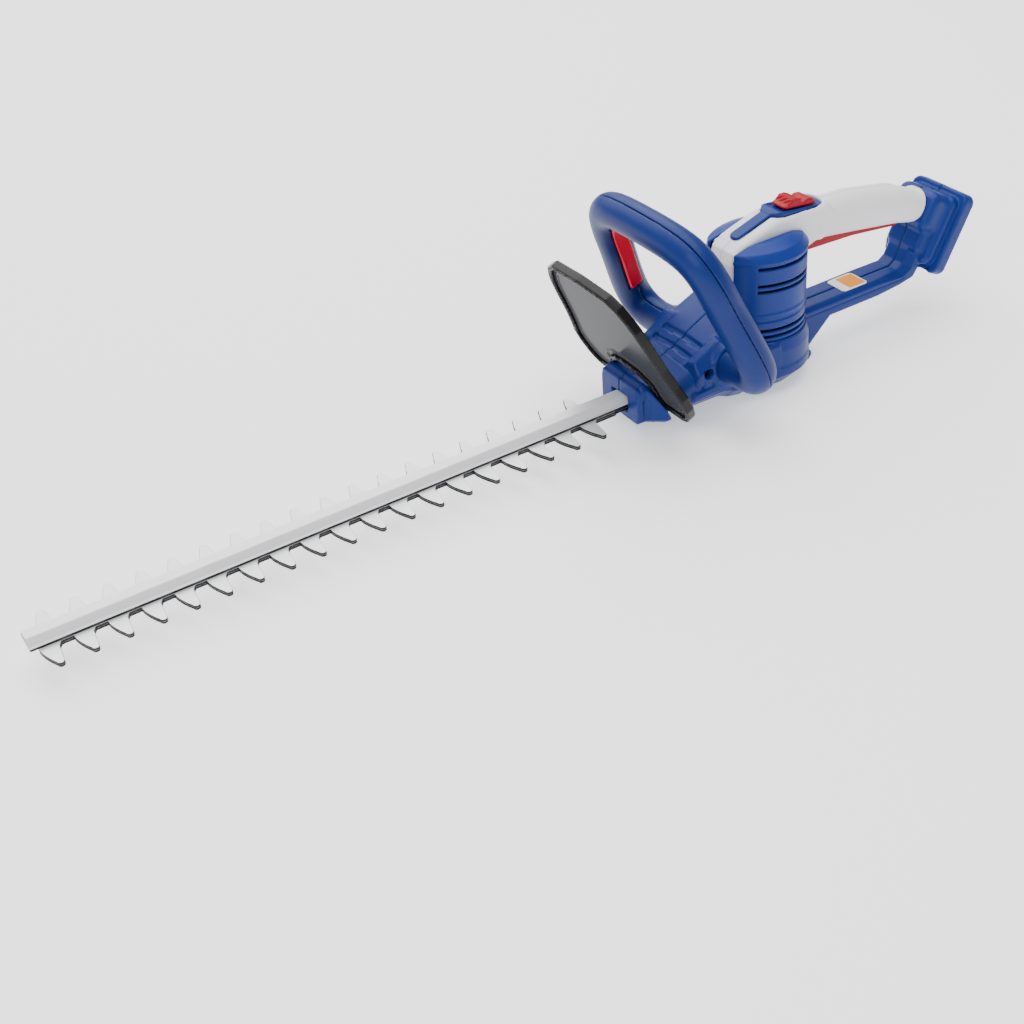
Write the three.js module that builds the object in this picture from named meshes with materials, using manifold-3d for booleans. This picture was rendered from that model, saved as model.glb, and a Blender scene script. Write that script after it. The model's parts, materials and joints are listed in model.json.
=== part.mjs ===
// Cordless hedge trimmer, millimetres, +Z up.
// The drawing frame has x = 0 at the front of the nose block, the blades running
// towards -X, the battery dock at +X and z = 0 on the plane between the two blades.
// The finished group is moved so that its origin is the bottom centre of its box.

import * as THREE from 'three';
import Module from 'manifold-3d';
import { mergeVertices } from 'three/addons/utils/BufferGeometryUtils.js';

const wasm = await Module();
wasm.setup();

// ---------------------------------------------------------------- dimensions

const GAP = 0.3;              // between parts that rest on each other
const SPLIT = 0.15;           // half of the parting line between two shells
const WALL = 3;               // moulded wall

const TEETH = 19;             // teeth on each side of a blade
const PITCH = 28;             // tooth pitch
const FIRST_TOOTH = -549;     // front corner of the first tooth tip
const TOOTH_REACH = 37;       // half width over the teeth
const TOOTH_ROOT = 11.5;      // half width at the gullets
const TOOTH_BASE = 15.5;      // tooth width at the gullet
const TOOTH_TIP = 6;          // tooth width at the tip
const TOOTH_LEAN = 7.5;       // how far the front flank falls back
const STAGGER = 5.6;          // the right-hand teeth sit this much further back
const BLADE = 2;              // blade thickness
const STROKE = 7.854;         // eccentric throw, half the blade stroke
const TANG = 9.5;             // half width of the tang inside the nose

const RAIL_FRONT = -563;
const RAIL_REAR = 58;
const RAIL_TOP = 12.5;
const RAIL_HALF = 11;
const BOLTS = [-520, -380, -240, -100];
const BOLT_R = 2.9;

const CRANK_X = 117.5;        // crank axis
const GEAR_TEETH = 48;
const PINION_TEETH = 10;
const MODULE = 1.5;
const MOTOR_X = CRANK_X + MODULE * (GEAR_TEETH + PINION_TEETH) / 2;
const ECCENTRIC_R = 13.5;
const CRANK_SHAFT_R = 5;
const MOTOR_SHAFT_R = 2.5;

const HOUSING_R = 44;         // vertical motor housing
const FRONT_STRETCH = 1.15;   // the housing is that much deeper in front of the motor axis
const HOUSING_FRONT = 114;    // rear wall of the gearbox, in front of the housing
const BOWL_R = 49;            // bowl under the motor
const BOWL_BOTTOM = -24;
const BOWL_TOP = 31;
const SPINE = 17.6;           // half width of the light spine over the motor
const COVER_TOP = 124;

const BAR_HALF = 18;          // lower bar under the hand opening

const GUARD_LEAN = THREE.MathUtils.degToRad(25.5);
const GUARD_X = 30.5;
const GUARD_DEPTH = 9;
const LOOP_LEAN = THREE.MathUtils.degToRad(22.86);
const LOOP_X = 104.5;
const LOOP_R = 16.8;
const LOOP_BORE = 14.1;
const LOOP_FOOT = 47;         // where the tube meets the boss on the body
const FOOT_Z = 30;
const FOOT_X = LOOP_X - FOOT_Z * Math.tan(LOOP_LEAN);
const DOCK_LEAN = THREE.MathUtils.degToRad(27.5);
const DOCK = { x: 364, z: 21, width: 72, height: 82, step: 14, depth: 26 };

const TRIGGER_PIVOT = { x: 321, z: 88 };
const TRIGGER_HALF = 6;

// ------------------------------------------------------------------- colours

const finish = (color, roughness, metalness) => new THREE.MeshStandardMaterial({ color, roughness, metalness });
const BLUE = finish(0x1f3f8f, 0.45, 0);
const GREY = finish(0xc9c8c6, 0.6, 0);
const RED = finish(0xc0142c, 0.4, 0);
const BLACK = finish(0x151517, 0.5, 0);
const SMOKE = finish(0x6f7275, 0.2, 0);
const STEEL = finish(0xc8ccd0, 0.3, 0.9);
const ALUMINIUM = finish(0xd8dade, 0.35, 0.8);
const BRASS = finish(0xb8913a, 0.35, 0.9);
const GREEN = finish(0x1f5b3a, 0.6, 0);
const WHITE = finish(0xf0f0ee, 0.5, 0);

// ------------------------------------------------------------------- helpers

function solid(geometry) {
  geometry.deleteAttribute('normal');
  geometry.deleteAttribute('uv');
  const merged = mergeVertices(geometry, 1e-5);
  return new wasm.Manifold(new wasm.Mesh({
    numProp: 3,
    vertProperties: new Float32Array(merged.attributes.position.array),
    triVerts: new Uint32Array(merged.index.array),
  }));
}

function part(name, body, material) {
  const mesh = body.getMesh();
  const geometry = new THREE.BufferGeometry();
  geometry.setAttribute('position', new THREE.BufferAttribute(mesh.vertProperties, 3));
  geometry.setIndex(new THREE.BufferAttribute(mesh.triVerts, 1));
  geometry.computeVertexNormals();
  const result = new THREE.Mesh(geometry, material);
  result.name = name;
  return result;
}

const union = (...bodies) => bodies.reduce((all, one) => all.add(one));
const cut = (body, ...tools) => tools.reduce((rest, tool) => rest.subtract(tool), body);

function box(x0, x1, y0, y1, z0, z1) {
  const geometry = new THREE.BoxGeometry(x1 - x0, y1 - y0, z1 - z0);
  geometry.translate((x0 + x1) / 2, (y0 + y1) / 2, (z0 + z1) / 2);
  return solid(geometry);
}

function prism(points, depth, holes = []) {
  const shape = new THREE.Shape(points.map(([a, b]) => new THREE.Vector2(a, b)));
  shape.holes = holes.map((hole) => new THREE.Path(hole.map(([a, b]) => new THREE.Vector2(a, b))));
  return new THREE.ExtrudeGeometry(shape, { depth, bevelEnabled: false });
}

// outline in x,y, from z0 to z1
function slab(points, z0, z1, holes = []) {
  return solid(prism(points, z1 - z0, holes).translate(0, 0, z0));
}

// outline in x,z, from y = -half to y = half
function side(points, half) {
  return solid(prism(points, 2 * half).rotateX(Math.PI / 2).translate(0, half, 0));
}

// upright cylinder
function post(x, y, radius, z0, z1, sides = 24) {
  const geometry = new THREE.CylinderGeometry(radius, radius, z1 - z0, sides);
  return solid(geometry.rotateX(Math.PI / 2).translate(x, y, (z0 + z1) / 2));
}

// cylinder lying across the machine
function pin(x, z, radius, y0, y1, sides = 16) {
  const geometry = new THREE.CylinderGeometry(radius, radius, y1 - y0, sides);
  return solid(geometry.translate(x, (y0 + y1) / 2, z));
}

// body of revolution about an upright axis, profile of [radius, z]
function turned(x, profile, sides = 32) {
  const points = profile.map(([r, z]) => new THREE.Vector2(r, z));
  return solid(new THREE.LatheGeometry(points, sides).rotateX(Math.PI / 2).translate(x, 0, 0));
}

// skin over rings of equally many points, in order of rising x, closed by flat ends
function loft(rings) {
  const count = rings[0].length;
  const last = (rings.length - 1) * count;
  const index = [];
  for (let start = 0; start < last; start += count) {
    for (let i = 0; i < count; i += 1) {
      const a = start + i;
      const b = start + ((i + 1) % count);
      index.push(a, b, a + count, b, b + count, a + count);
    }
  }
  for (let i = 1; i < count - 1; i += 1) {
    index.push(0, i + 1, i, last, last + i, last + i + 1);
  }
  return solid(new THREE.BufferGeometry().setFromPoints(rings.flat()).setIndex(index));
}

// rectangle with chamfered corners, standing across the machine at x
function frameAt(x, half, z0, z1, chamfer, low = 3) {
  return [
    [-half, z0 + low], [-half + low, z0], [half - low, z0], [half, z0 + low],
    [half, z1 - chamfer], [half - chamfer, z1], [-half + chamfer, z1], [-half, z1 - chamfer],
  ].map(([y, z]) => new THREE.Vector3(x, y, z));
}

// oval ring standing across the machine at x, tilted about Y by slope
function ovalAt(x, z, halfY, halfZ, slope = 0, sides = 16) {
  const ring = [];
  for (let i = 0; i < sides; i += 1) {
    const angle = (2 * Math.PI * i) / sides;
    const up = halfZ * Math.sin(angle);
    ring.push(new THREE.Vector3(x - up * Math.sin(slope), halfY * Math.cos(angle), z + up * Math.cos(slope)));
  }
  return ring;
}

// outline moved inwards by distance, for outlines drawn anticlockwise
function inset(points, distance) {
  return points.map((point, i) => {
    const before = points[(i + points.length - 1) % points.length];
    const after = points[(i + 1) % points.length];
    const a = new THREE.Vector2(point[0] - before[0], point[1] - before[1]).normalize();
    const b = new THREE.Vector2(after[0] - point[0], after[1] - point[1]).normalize();
    const normal = new THREE.Vector2(-a.y - b.y, a.x + b.x).normalize();
    const scale = distance / Math.max(0.4, normal.dot(new THREE.Vector2(-a.y, a.x)));
    return [point[0] + normal.x * scale, point[1] + normal.y * scale];
  });
}

// outline given on the -Y side, closed by its mirror image
const mirroredY = (points) => [...points, ...points.slice().reverse().map(([x, y]) => [x, -y])];

const mirrored = (points) => [...points, ...points.slice().reverse().filter(([a]) => a !== 0).map(([a, b]) => [-a, b])];

// a body drawn with x across the machine, y up the leaning plane and z to the rear
function lean(body, x, angle) {
  const matrix = new THREE.Matrix4().makeBasis(
    new THREE.Vector3(0, 1, 0),
    new THREE.Vector3(-Math.sin(angle), 0, Math.cos(angle)),
    new THREE.Vector3(Math.cos(angle), 0, Math.sin(angle)),
  );
  matrix.setPosition(x, 0, 0);
  return body.transform(matrix.toArray());
}

// both halves of a shell that parts on the middle plane; left is at -Y
function halves(body) {
  const reach = 1000;
  const left = body.intersect(box(-reach, reach, -reach, -SPLIT, -reach, reach));
  const right = body.intersect(box(-reach, reach, SPLIT, reach, -reach, reach));
  return [left, right];
}

// -------------------------------------------------------------------- blades

function toothedEdge(shift) {
  const points = [];
  for (let i = 0; i < TEETH; i += 1) {
    const tip = FIRST_TOOTH + shift + PITCH * i;
    const root = tip - TOOTH_LEAN;
    points.push([root, TOOTH_ROOT], [tip - 1.5, TOOTH_REACH - 5], [tip, TOOTH_REACH - 1.5], [tip + 2, TOOTH_REACH]);
    points.push([tip + TOOTH_TIP, TOOTH_REACH - 1.5], [root + TOOTH_BASE, TOOTH_ROOT]);
  }
  return points;
}

function slotOutline(x, halfLength, halfWidth) {
  const points = [];
  for (let i = 0; i <= 4; i += 1) {
    const angle = Math.PI / 2 + (Math.PI * i) / 4;
    points.push([x - halfLength + halfWidth * (1 + Math.cos(angle)), halfWidth * Math.sin(angle)]);
  }
  return [...points, ...points.map(([a, b]) => [2 * x - a, -b])];
}

function blade(name, z0) {
  const near = toothedEdge(0).map(([x, y]) => [x, -y]);
  const far = toothedEdge(STAGGER).reverse();
  const shoulder = -14;
  const yokeFront = CRANK_X - 20;
  const yokeRear = CRANK_X + 20;
  const yokeHalf = 27;
  const outline = [
    ...near,
    [shoulder, -TOOTH_ROOT], [shoulder + 4, -TANG], [yokeFront, -TANG], [yokeFront, -yokeHalf],
    [yokeRear, -yokeHalf], [yokeRear, yokeHalf], [yokeFront, yokeHalf], [yokeFront, TANG],
    [shoulder + 4, TANG], [shoulder, TOOTH_ROOT],
    ...far,
  ];
  const slots = BOLTS.map((x) => slotOutline(x, STROKE + BOLT_R + 0.9, BOLT_R + 0.4));
  const play = ECCENTRIC_R + 1.9;
  const travel = ECCENTRIC_R + STROKE + 0.6;
  const yoke = [
    [CRANK_X - play, -travel], [CRANK_X + play, -travel],
    [CRANK_X + play, travel], [CRANK_X - play, travel],
  ];
  return part(name, slab(outline, z0, z0 + BLADE, [...slots, yoke]), STEEL);
}

function bladeRail() {
  const foot = BLADE + 0.65;
  const outline = [
    [-RAIL_HALF, foot], [RAIL_HALF, foot], [RAIL_HALF, foot + 2], [6, RAIL_TOP], [-6, RAIL_TOP], [-RAIL_HALF, foot + 2],
  ];
  const channel = [[-6.2, foot + 1.8], [6.2, foot + 1.8], [3.6, RAIL_TOP - 1.6], [-3.6, RAIL_TOP - 1.6]];
  const geometry = prism(outline, RAIL_REAR - RAIL_FRONT, [channel]);
  geometry.rotateX(Math.PI / 2).rotateZ(Math.PI / 2).translate(RAIL_FRONT, 0, 0);
  const holes = BOLTS.map((x) => post(x, 0, BOLT_R + 0.2, 0, foot + 3, 10));
  return part('blade_rail', cut(solid(geometry), ...holes), ALUMINIUM);
}

function guideHardware() {
  const under = -BLADE - 0.15;
  const nutBottom = BLADE + 0.65 + 1.8 + GAP;
  return BOLTS.flatMap((x, i) => [
    part(`guide_bolt_${i + 1}`, union(
      post(x, 0, 5, under - 5.2, under - 2, 6),
      post(x, 0, BOLT_R, under - 3, nutBottom + 3.8, 10),
    ), STEEL),
    part(`guide_washer_${i + 1}`, cut(
      post(x, 0, 8.5, under - 1.7, under - GAP, 16),
      post(x, 0, BOLT_R + 0.3, under - 3, under, 10),
    ), STEEL),
    part(`guide_nut_${i + 1}`, cut(
      post(x, 0, 4.6, nutBottom, nutBottom + 3.2, 6),
      post(x, 0, BOLT_R + 0.1, nutBottom - 1, nutBottom + 5, 10),
    ), STEEL),
  ]);
}

// --------------------------------------------------------------------- drive

function gearWheel(x, teeth, phase, bore, z0, z1) {
  const pitchRadius = (MODULE * teeth) / 2;
  const step = (2 * Math.PI) / teeth;
  const outline = [];
  for (let i = 0; i < teeth; i += 1) {
    const centre = phase + i * step;
    const flank = 1.3 / pitchRadius;
    const land = 0.45 / pitchRadius;
    const corners = [[-1.7, -flank], [1.2, -land], [1.2, land], [-1.7, flank]];
    for (const [rise, turn] of corners) {
      const radius = pitchRadius + rise;
      outline.push([x + radius * Math.cos(centre + turn), radius * Math.sin(centre + turn)]);
    }
  }
  return cut(slab(outline, z0, z1), post(x, 0, bore, z0 - 1, z1 + 1, 24));
}

function crank() {
  const shaft = union(
    post(CRANK_X, 0, CRANK_SHAFT_R, -11, 24, 20),
    post(CRANK_X, -STROKE, ECCENTRIC_R, -BLADE - 0.3, 0.05, 28),
    post(CRANK_X, STROKE, ECCENTRIC_R, -0.05, BLADE + 0.6, 28),
    post(CRANK_X, 0, 8, BLADE + 0.4, 7.6, 18),
  );
  return [
    part('crankshaft', shaft, STEEL),
    part('crank_gear', gearWheel(CRANK_X, GEAR_TEETH, 0, CRANK_SHAFT_R + 0.1, 8, 14), STEEL),
  ];
}

function bearing(name, z0, z1) {
  const ring = cut(post(CRANK_X, 0, 11, z0, z1, 28), post(CRANK_X, 0, CRANK_SHAFT_R + 0.1, z0 - 1, z1 + 1, 24));
  return part(name, ring, STEEL);
}

function gearcase() {
  const floor = -BLADE - 0.6;
  const feet = [[76, 27], [76, -27], [146, 34], [146, -34]];
  const base = union(
    slab(mirroredY([[43, -14], [60, -29], [150, -35]]), floor - 2.4, floor),
    post(CRANK_X, 0, 14.5, -11.5, floor, 24),
  );
  const lid = union(
    cut(slab(mirroredY([[38, -14], [70, -33], [150, -33]]), 16.5, 19.5), post(MOTOR_X, 0, 16, 16, 20, 24)),
    post(CRANK_X, 0, 14.5, 16.5, 24.5, 24),
    box(39, 56, -9, 9, RAIL_TOP + GAP, 17),
    ...feet.map(([x, y]) => post(x, y, 4, floor + GAP, 17, 12)),
  );
  return [
    part('gearcase_base', cut(base, post(CRANK_X, 0, 11.1, -15, 0, 28)), ALUMINIUM),
    part('gearcase_lid', cut(lid, post(CRANK_X, 0, 11.1, 15, 26, 28)), ALUMINIUM),
    bearing('crank_bearing_bottom', -10.5, -4),
    bearing('crank_bearing_top', 15, 22.5),
  ];
}

function motor() {
  const canR = 22;
  const canBore = 20.4;
  const shell = cut(
    post(MOTOR_X, 0, canR, 26, 84, 28),
    post(MOTOR_X, 0, canBore, 28, 82, 28),
    post(MOTOR_X, 0, 3.4, 25, 85, 16),
  );
  const magnetRing = cut(post(MOTOR_X, 0, 20.1, 34, 76, 28), post(MOTOR_X, 0, 17.9, 33, 77, 28));
  const magnet = (sign) => magnetRing.intersect(box(MOTOR_X - 17, MOTOR_X + 17, Math.min(5 * sign, 22 * sign),
    Math.max(5 * sign, 22 * sign), 30, 80));
  const armature = union(
    post(MOTOR_X, 0, MOTOR_SHAFT_R, 6, 98, 16),
    ...[0, 1, 2, 3, 4].map((i) => armaturePole(i)),
    post(MOTOR_X, 0, 8, 72, 80, 20),
  );
  return [
    part('motor_can', shell, STEEL),
    part('motor_magnet_left', magnet(-1), BLACK),
    part('motor_magnet_right', magnet(1), BLACK),
    part('armature', armature, STEEL),
    part('motor_pinion', gearWheel(MOTOR_X, PINION_TEETH, Math.PI / PINION_TEETH, MOTOR_SHAFT_R + 0.1, 7, 15), STEEL),
    part('cooling_fan', coolingFan(), BLACK),
  ];
}

function armaturePole(index) {
  const pole = union(
    box(0, 15, -2.6, 2.6, 36, 72),
    post(0, 0, 17, 36, 72, 24).intersect(box(13, 18, -7, 7, 30, 80)),
  );
  return pole.rotate([0, 0, 72 * index]).translate([MOTOR_X, 0, 0]);
}

function coolingFan() {
  const bladeCount = 9;
  const blades = Array.from({ length: bladeCount }, (_, i) => {
    const paddle = box(8, 31, -0.8, 0.8, 88.5, 97);
    return paddle.rotate([0, 0, (360 * i) / bladeCount]).translate([MOTOR_X, 0, 0]);
  });
  const wheel = union(post(MOTOR_X, 0, 32, 87.5, 89, 24), post(MOTOR_X, 0, 9, 87.5, 97, 24), ...blades);
  return cut(wheel, post(MOTOR_X, 0, MOTOR_SHAFT_R + 0.1, 86, 99, 16));
}

// -------------------------------------------------------------------- casing

// parallelogram that follows the guard's plane, for the slot it drops into
function guardSlot(front, rear) {
  const shift = Math.tan(GUARD_LEAN);
  const at = (x, z) => [GUARD_X + x / Math.cos(GUARD_LEAN) - z * shift, z];
  return side([at(front, -60), at(rear, -60), at(rear, 90), at(front, 90)], 120);
}

function noseBody() {
  const block = loft([
    frameAt(0, 29.5, -10.5, 23.5, 5),
    frameAt(5, 30, -10.5, 29.5, 4),
    frameAt(9, 30, -10.5, 31, 4),
    frameAt(24, 42, -10, 8, 4),
  ]);
  const clear = GUARD_DEPTH / 2 + GAP;
  const neck = loft([frameAt(4, 28, -9.5, 26, 3), frameAt(40, 28, -9.5, 29, 3)]);
  const front = cut(block, guardSlot(-clear, 200));
  return union(front, neck.intersect(guardSlot(-30, 40)));
}

function gearboxBody(shrink) {
  const low = 12;
  const slope = loft([
    frameAt(33 + shrink, 43 - shrink, -9 + shrink, 27 - shrink, 10, low),
    frameAt(52, 45 - shrink, -9 + shrink, 35 - shrink, 14, low),
    frameAt(86, 46 - shrink, -9 + shrink, 53 - shrink, 16, low),
    frameAt(101, 45 - shrink, -15 + shrink, 61 - shrink, 16, low),
    frameAt(HOUSING_FRONT - shrink, 44 - shrink, -18 + shrink, 67 - shrink, 16, low),
  ]);
  const neck = loft([
    frameAt(100, 43 - shrink, -16 + shrink, 30 - shrink, 4, low + 4),
    frameAt(150, 47 - shrink, -23 + shrink, 30 - shrink, 4, low + 4),
  ]);
  return union(slope, neck);
}

// the front half of a body about the motor axis, drawn out to meet the spine
function stretched(body) {
  const reach = 300;
  const rear = body.intersect(box(MOTOR_X - 0.01, reach, -reach, reach, -reach, reach));
  const front = body.translate([-MOTOR_X, 0, 0]).scale([FRONT_STRETCH, 1, 1]).translate([MOTOR_X, 0, 0]);
  return rear.add(front.intersect(box(0, MOTOR_X, -reach, reach, -reach, reach)));
}

function bowl(shrink) {
  return turned(MOTOR_X, [
    [0, BOWL_BOTTOM + shrink], [32 - shrink, BOWL_BOTTOM + shrink], [BOWL_R - shrink, BOWL_BOTTOM + 18],
    [BOWL_R - shrink, BOWL_TOP - 11], [BOWL_R - 4 - shrink, BOWL_TOP - shrink], [0, BOWL_TOP - shrink],
  ]);
}

const BAR_OUTLINE = [
  [190, 13], [200, -18], [213, -10], [238, 13.5], [332, 13.5], [347, 16], [354, 26], [368, 50], [386, 84], [382, 96],
  [362, 96], [353, 76], [348, 64], [334, 37], [327, 32], [190, 32],
];

// a body drawn with x out of the dock's rear face and z up along that face
function dockPlace(body) {
  const matrix = new THREE.Matrix4().makeBasis(
    new THREE.Vector3(Math.cos(DOCK_LEAN), 0, -Math.sin(DOCK_LEAN)),
    new THREE.Vector3(0, 1, 0),
    new THREE.Vector3(Math.sin(DOCK_LEAN), 0, Math.cos(DOCK_LEAN)),
  );
  matrix.setPosition(DOCK.x, 0, DOCK.z);
  return body.transform(matrix.toArray());
}

// the leaning head that the battery slides onto: rear face at local x = 0
function dockHead() {
  const half = DOCK.width / 2;
  const ring = (x, inwards, top) => [
    [-half + inwards, 8], [-half + inwards + 8, inwards], [half - inwards - 8, inwards], [half - inwards, 8],
    [half - inwards, top - 10], [half - inwards - 10, top], [-half + inwards + 10, top], [-half + inwards, top - 10],
  ].map(([y, z]) => new THREE.Vector3(x, y, z));
  const plate = loft([
    ring(-DOCK.depth, 10, DOCK.height - 10), ring(-DOCK.depth + 4, 6, DOCK.height - 6),
    ring(-DOCK.step, 6, DOCK.height - 6), ring(-DOCK.step + 0.5, 0, DOCK.height), ring(0, 0, DOCK.height),
  ]);
  return dockPlace(plate);
}

function dockRecess() {
  return dockPlace(box(-13, 10, -27, 27, -10, DOCK.height - 12));
}

function dockRails() {
  const rail = box(-2.5, 0, 22, 27.5, 1, DOCK.height - 11);
  return dockPlace(union(rail, rail.mirror([0, 1, 0])));
}

const LUG_X = 67;             // screw boss in front of the loop's foot
const LUG_Z = 28.5;

// [x, z, half length of the screw boss]
const CASE_SCREWS = [[LUG_X, LUG_Z, 43], [196, -7, 32], [304, 22.8, 16], [350, 52, 16]];

function casing() {
  const column = union(side(BAR_OUTLINE, BAR_HALF), loft([
    ovalAt(349.9, 90.8, 18.8, 16.3, -DOCK_LEAN), ovalAt(353.5, 88.9, 25, 19.5, -DOCK_LEAN),
    ovalAt(367, 81.9, 26, 21, -DOCK_LEAN),
  ]));
  const shell = union(
    gearboxBody(0),
    bowl(0),
    cut(column, side([[190, 29], [326, 29], [332, 34], [351, 70], [360, 88], [372, 82], [356, 50], [347, 30],
      [332, 16.5], [190, 16.5]], BAR_HALF - WALL)),
    cut(loft([frameAt(55, 46, 17, 38, 9), frameAt(86, 46.5, 17, 54, 9)]), box(40, 90, -30, 30, 0, 60)),
    ...[-1, 1].map((sign) => pin(FOOT_X, FOOT_Z, 20, Math.min(sign * 30, sign * LOOP_FOOT),
      Math.max(sign * 30, sign * LOOP_FOOT), 28)),
  );
  const hollow = union(
    gearboxBody(WALL),
    bowl(WALL),
    box(130, 240, -BAR_HALF + WALL, BAR_HALF - WALL, 16.5, 27),
    stretched(post(MOTOR_X, 0, HOUSING_R + 0.6, BOWL_TOP + GAP, 160, 32)).intersect(
      box(HOUSING_FRONT + GAP, 220, -60, 60, 0, 160),
    ),
    post(CRANK_X, 0, 38.4, 4, 16, 32),
  );
  const cradle = union(
    cut(post(MOTOR_X, 0, 40.3, 26, 108, 24), post(MOTOR_X, 0, 37.3, 20, 110, 24),
      box(134, 188, -60, 60, 38, 100)),
    cut(post(MOTOR_X, 0, 38.5, 77, 80, 24), post(MOTOR_X, 0, 22.6, 70, 90, 24)),
    post(MOTOR_X, 0, 43.6, 29, 86, 32).intersect(box(MOTOR_X + 37.5, 220, -16.8, 16.8, 20, 90)),
  );
  const handleEar = box(196, 214, -6, 6, 26, 31.5);
  const bosses = CASE_SCREWS.map(([x, z, reach]) => pin(x, z, 6, -reach, reach));
  const leftBore = pin(LUG_X, LUG_Z, 7.5, -46, -12, 20);
  const holes = CASE_SCREWS.map(([x, z]) => union(pin(x, z, 2.2, -12, 20, 12), pin(x, z, 4.6, 11, 60, 16)));
  const channel = box(-5, 40, -12, 12, -BLADE - 1.2, RAIL_TOP + 1);
  const inner = cut(hollow, guardSlot(-60, GUARD_DEPTH / 2 + 3));
  const whole = union(
    cut(union(shell, noseBody(), dockHead()), inner, dockRecess()),
    dockRails(),
    cradle,
    handleEar,
    leftBore,
    ...bosses,
  );
  const wires = union(box(356, 368, -8, 8, 74, 92), post(MOTOR_X, 0, 22.4, 20, 36, 28));
  const well = pin(LUG_X, LUG_Z, 4.8, -60, -16, 20);
  const [left, right] = halves(cut(whole, channel, wires, well, ...holes, loopSockets()));
  return [part('casing_left', left, BLUE), part('casing_right', right, BLUE)];
}

// spigot holes that let the loop's wiring and screws enter the body
function loopSockets() {
  return pin(FOOT_X, FOOT_Z, 9, -60, 60, 20);
}

function caseScrew(name, x, z) {
  return part(name, union(pin(x, z, 2, -9, 12, 12), pin(x, z, 4, 11.3, 14.5, 12)), STEEL);
}

// ------------------------------------------------------------ handle and grip

const SPINE_OUTLINE = [
  [HOUSING_FRONT + 0.6, 69], [HOUSING_FRONT + 0.6, 110], [119, 120], [130, 126.5], [150, 132], [168, 137.5], [226, 135],
  [236, 120], [222, 108], [206, 101], [206, 87], [150, 87], [150, 69],
];

const GRIP_RINGS = [
  [222, 116, 18, 19, 0], [268, 111, 20, 20.5, 0.12], [320, 101.5, 20, 19.5, 0.24], [349.5, 91, 19, 16.5, -DOCK_LEAN],
];

function gripLoft(rings, shrink) {
  return loft(rings.map(([x, z, halfY, halfZ, slope]) => ovalAt(x, z, halfY - shrink, halfZ - shrink, slope)));
}

function triggerOutline(grow) {
  const front = 208 - grow;
  const rear = 327 + grow;
  return [
    [front, 88.4 - grow], [270, 85.3 - grow], [rear, 78 - grow], [rear, 89], [270, 97 + grow],
    [front + 20, 99.5 + grow], [front, 97],
  ];
}

const HANDLE_SCREWS = [[214, 122, 16], [290, 110, 18.5]];

function handleShells() {
  const outer = union(side(SPINE_OUTLINE, SPINE), gripLoft(GRIP_RINGS, 0));
  const motorRoom = union(post(MOTOR_X, 0, 41, 60, 113, 32), box(118, 130, -40, 40, 60, 100));
  const room = union(
    motorRoom,
    gripLoft([...GRIP_RINGS, [359.3, 85.9, 19, 16.5, -DOCK_LEAN]], 2.6),
    box(170, 236, -14, 14, 100, 131),
  );
  const bosses = HANDLE_SCREWS.map(([x, z, reach]) => pin(x, z, 5.5, -reach, reach));
  const holes = HANDLE_SCREWS.map(([x, z]) => union(pin(x, z, 2.2, -12, 20, 12), pin(x, z, 4.6, 11, 40, 16)));
  const slot = side([[206.3, 80], [332, 70], [332, 94], [272, 104], [206.3, 107]], TRIGGER_HALF + 0.8);
  const pivot = union(
    pin(TRIGGER_PIVOT.x, TRIGGER_PIVOT.z, 2.1, -12, 12.4, 12),
    pin(TRIGGER_PIVOT.x, TRIGGER_PIVOT.z, 4.4, 0, 12.4, 12),
  );
  const sliderRoom = box(178, 222, -6, 6, 125, 150);
  const panelSeat = side([[126, 124.6], [130, 123.6], [168, 135.2], [228, 132.6], [228, 160], [126, 160]], 0.1);
  const inlay = cut(side(inlayOutline(-GAP), 7 + GAP), panelSeat);
  const panel = side(panelOutline(-GAP), 14 + GAP);
  const whole = cut(union(cut(outer, room), ...bosses), ...holes, slot, sliderRoom, inlay, panel, pivot);
  const vents = [98, 92, 86].map((z) => box(110, 119, -11, 11, z, z + 2.4));
  const [left, right] = halves(cut(whole, ...vents));
  return [part('handle_shell_left', left, GREY), part('handle_shell_right', right, GREY)];
}

function inlayOutline(grow) {
  return [[128 + grow, 124.4 + grow], [170, 136.2 + grow], [170, 140], [167, 139], [129 + grow, 127.4]];
}

function panelOutline(grow) {
  return [
    [166 + grow, 134.6 + grow], [228 - grow, 131.4 + grow], [228 - grow, 134.6], [172, 141.6], [166 + grow, 139],
  ];
}

function lockPanel() {
  const body = union(side(inlayOutline(0), 7), side(panelOutline(0), 14));
  return part('lock_panel', cut(body, box(182, 216, -4.4, 4.4, 120, 160)), BLUE);
}

function lockSlider() {
  const thumb = [
    [181, 140.9], [219, 136.2], [219, 138], [213, 142.6], [208, 144], [204, 142.8], [200, 148.6], [194, 150],
    [186, 147], [181, 143],
  ];
  const ridges = [187, 190.5, 194, 197.5].map((x) => box(x, x + 1.2, -12, 12, 148.6, 156));
  const grip = cut(side(thumb, 10), ...ridges);
  return part('lock_off_slider', union(grip, box(194, 206, -3.8, 3.8, 127, 141)), RED);
}

function rearTrigger() {
  const lever = cut(side(triggerOutline(0), TRIGGER_HALF), pin(TRIGGER_PIVOT.x, TRIGGER_PIVOT.z, 2.15, -20, 20, 16));
  return part('rear_trigger', lever, RED);
}

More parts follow.
